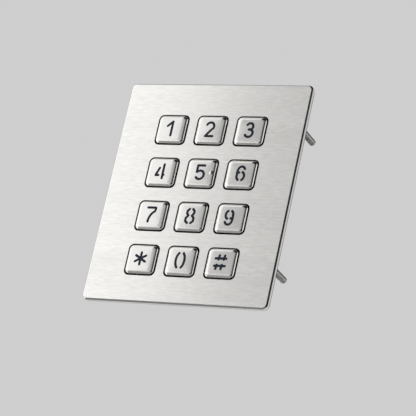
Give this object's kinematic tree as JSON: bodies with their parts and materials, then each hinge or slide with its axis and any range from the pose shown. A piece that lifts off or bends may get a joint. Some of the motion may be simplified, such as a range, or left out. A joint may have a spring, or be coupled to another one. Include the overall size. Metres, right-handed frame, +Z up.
{
  "type": "panel keypad",
  "caption": "Stainless steel panel keypad with twelve sprung metal keys in windows of a flat faceplate, silicone keymat, circuit board and rear mounting studs.",
  "frame": {"origin": "centre of the sealing plane, which is the rear face of the gasket and the front face of the panel that carries the keypad", "axes": "+Z up the faceplate, -Y out of its front, +Y into the panel along the mounting studs"},
  "size_m": [0.0864, 0.0189, 0.1014],
  "materials": {
    "plate_steel": "horizontal brushed grain",
    "key_steel": "satin, fine bead-blasted",
    "stud_steel": "rolled thread, slightly dull",
    "fastener_zinc": "bright zinc plate",
    "legend_resin": "dark navy resin",
    "gasket_rubber": "matt",
    "frame_plastic": "fine moulded texture",
    "keymat_silicone": "soft silicone sheen",
    "pill_carbon": "carbon loaded",
    "board": "green solder mask",
    "contact_gold": "thin gold plate",
    "chip_plastic": "moulded epoxy",
    "header_plastic": "glass-filled nylon"
  },
  "bodies": {
    "panel": {"faceplate": "plate_steel", "mount_studs": "stud_steel", "gasket": "gasket_rubber", "guide_frame": "frame_plastic", "keymat": "keymat_silicone", "circuit_board": "board", "contact_pads": "contact_gold", "line_diodes": "chip_plastic", "header_body": "header_plastic", "header_pins": "contact_gold", "frame_studs": "stud_steel", "frame_washers": "fastener_zinc", "frame_nuts": "fastener_zinc"},
    "button_1": {"key_1": "key_steel", "core_1": "legend_resin", "pill_1": "pill_carbon"},
    "button_2": {"key_2": "key_steel", "core_2": "legend_resin", "pill_2": "pill_carbon"},
    "button_3": {"key_3": "key_steel", "core_3": "legend_resin", "pill_3": "pill_carbon"},
    "button_4": {"key_4": "key_steel", "core_4": "legend_resin", "pill_4": "pill_carbon"},
    "button_5": {"key_5": "key_steel", "core_5": "legend_resin", "pill_5": "pill_carbon"},
    "button_6": {"key_6": "key_steel", "core_6": "legend_resin", "pill_6": "pill_carbon"},
    "button_7": {"key_7": "key_steel", "core_7": "legend_resin", "pill_7": "pill_carbon"},
    "button_8": {"key_8": "key_steel", "core_8": "legend_resin", "pill_8": "pill_carbon"},
    "button_9": {"key_9": "key_steel", "core_9": "legend_resin", "pill_9": "pill_carbon"},
    "button_star": {"key_star": "key_steel", "core_star": "legend_resin", "pill_star": "pill_carbon"},
    "button_0": {"key_0": "key_steel", "core_0": "legend_resin", "pill_0": "pill_carbon"},
    "button_hash": {"key_hash": "key_steel", "core_hash": "legend_resin", "pill_hash": "pill_carbon"}
  },
  "joints": [
    {"name": "press_1", "type": "slide", "parent": "panel", "child": "button_1", "axis": [0, 1, 0], "range_m": [0, 0.001], "stiffness_N_per_m": 1400, "springref_m": -0.0006, "deforming": ["keymat"]},
    {"name": "press_2", "type": "slide", "parent": "panel", "child": "button_2", "axis": [0, 1, 0], "range_m": [0, 0.001], "stiffness_N_per_m": 1400, "springref_m": -0.0006, "deforming": ["keymat"]},
    {"name": "press_3", "type": "slide", "parent": "panel", "child": "button_3", "axis": [0, 1, 0], "range_m": [0, 0.001], "stiffness_N_per_m": 1400, "springref_m": -0.0006, "deforming": ["keymat"]},
    {"name": "press_4", "type": "slide", "parent": "panel", "child": "button_4", "axis": [0, 1, 0], "range_m": [0, 0.001], "stiffness_N_per_m": 1400, "springref_m": -0.0006, "deforming": ["keymat"]},
    {"name": "press_5", "type": "slide", "parent": "panel", "child": "button_5", "axis": [0, 1, 0], "range_m": [0, 0.001], "stiffness_N_per_m": 1400, "springref_m": -0.0006, "deforming": ["keymat"]},
    {"name": "press_6", "type": "slide", "parent": "panel", "child": "button_6", "axis": [0, 1, 0], "range_m": [0, 0.001], "stiffness_N_per_m": 1400, "springref_m": -0.0006, "deforming": ["keymat"]},
    {"name": "press_7", "type": "slide", "parent": "panel", "child": "button_7", "axis": [0, 1, 0], "range_m": [0, 0.001], "stiffness_N_per_m": 1400, "springref_m": -0.0006, "deforming": ["keymat"]},
    {"name": "press_8", "type": "slide", "parent": "panel", "child": "button_8", "axis": [0, 1, 0], "range_m": [0, 0.001], "stiffness_N_per_m": 1400, "springref_m": -0.0006, "deforming": ["keymat"]},
    {"name": "press_9", "type": "slide", "parent": "panel", "child": "button_9", "axis": [0, 1, 0], "range_m": [0, 0.001], "stiffness_N_per_m": 1400, "springref_m": -0.0006, "deforming": ["keymat"]},
    {"name": "press_star", "type": "slide", "parent": "panel", "child": "button_star", "axis": [0, 1, 0], "range_m": [0, 0.001], "stiffness_N_per_m": 1400, "springref_m": -0.0006, "deforming": ["keymat"]},
    {"name": "press_0", "type": "slide", "parent": "panel", "child": "button_0", "axis": [0, 1, 0], "range_m": [0, 0.001], "stiffness_N_per_m": 1400, "springref_m": -0.0006, "deforming": ["keymat"]},
    {"name": "press_hash", "type": "slide", "parent": "panel", "child": "button_hash", "axis": [0, 1, 0], "range_m": [0, 0.001], "stiffness_N_per_m": 1400, "springref_m": -0.0006, "deforming": ["keymat"]}
  ]
}
